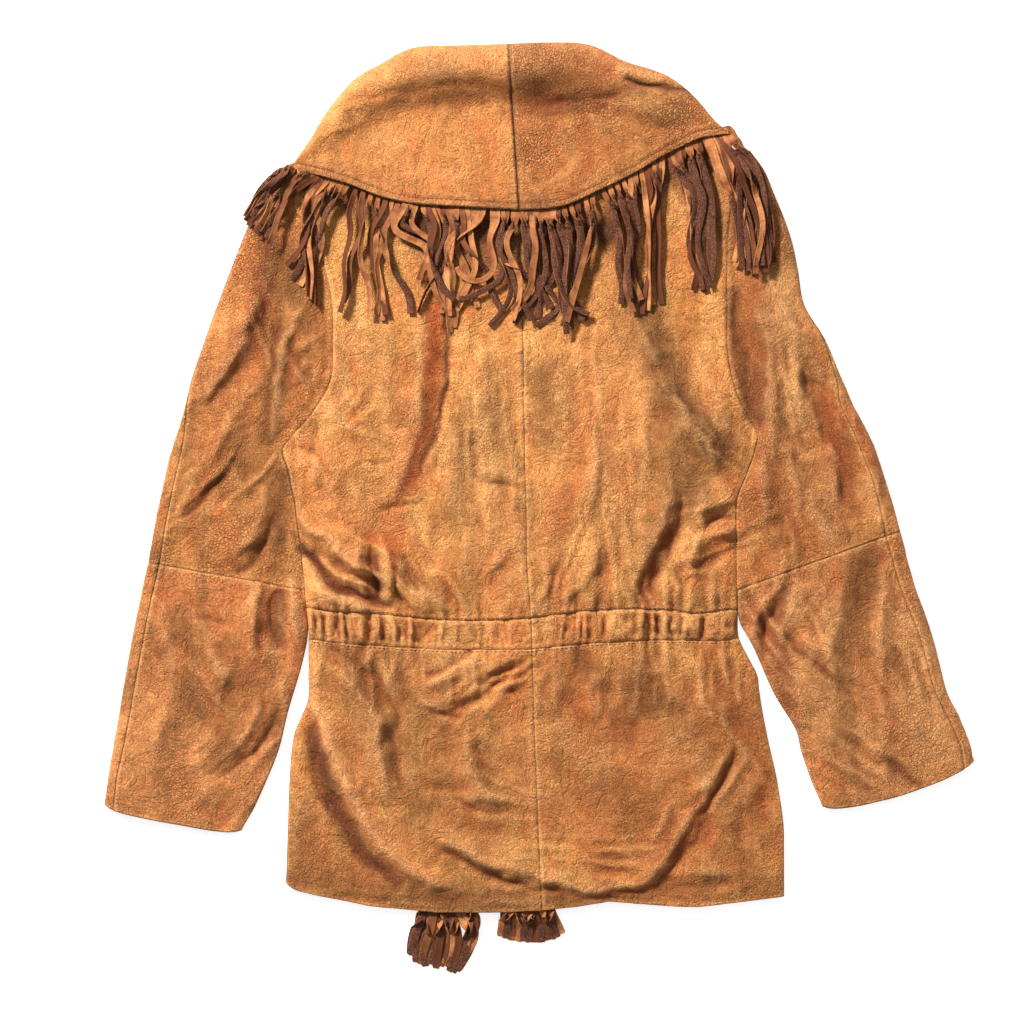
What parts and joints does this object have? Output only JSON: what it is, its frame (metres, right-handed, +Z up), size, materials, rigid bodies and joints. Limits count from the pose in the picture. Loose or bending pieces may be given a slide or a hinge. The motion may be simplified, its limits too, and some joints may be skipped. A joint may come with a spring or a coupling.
{
  "type": "fringed buckskin jacket, laid flat",
  "caption": "Tan buckskin jacket laid flat, back up, with a wide fringed shawl collar, gathered waist and flared skirt.",
  "frame": {"origin": "centre of the garment's box, on the surface it lies on, without the waist laces and their tassels", "axes": "+Z up out of the jacket's back, +Y from the hem to the collar, +X to the wearer's right sleeve"},
  "size_m": [0.869, 0.932, 0.034],
  "materials": {
    "buckskin": "napped suede",
    "fringe": "rough flesh side and napped face",
    "lace": "napped suede"
  },
  "bodies": {
    "root": {"back_upper_left": "buckskin", "back_upper_right": "buckskin", "front_upper_left": "buckskin", "front_upper_right": "buckskin", "back_casing_left": "buckskin", "back_casing_right": "buckskin", "front_casing_left": "buckskin", "front_casing_right": "buckskin", "back_skirt_left": "buckskin", "back_skirt_right": "buckskin", "front_skirt_left": "buckskin", "front_skirt_right": "buckskin", "sleeve_left_upper_back": "buckskin", "sleeve_left_upper_front": "buckskin", "sleeve_right_upper_back": "buckskin", "sleeve_right_upper_front": "buckskin", "sleeve_left_lower_back": "buckskin", "sleeve_left_lower_front": "buckskin", "sleeve_right_lower_back": "buckskin", "sleeve_right_lower_front": "buckskin", "collar_left": "buckskin", "collar_left_front": "buckskin", "fringe_left_front": "fringe", "collar_right": "buckskin", "collar_right_front": "buckskin", "fringe_right_front": "fringe", "fringe_left": "fringe", "fringe_right": "fringe", "lace_left": "lace", "lace_right": "lace", "tassel_left": "fringe", "tassel_right": "fringe"}
  },
  "joints": []
}
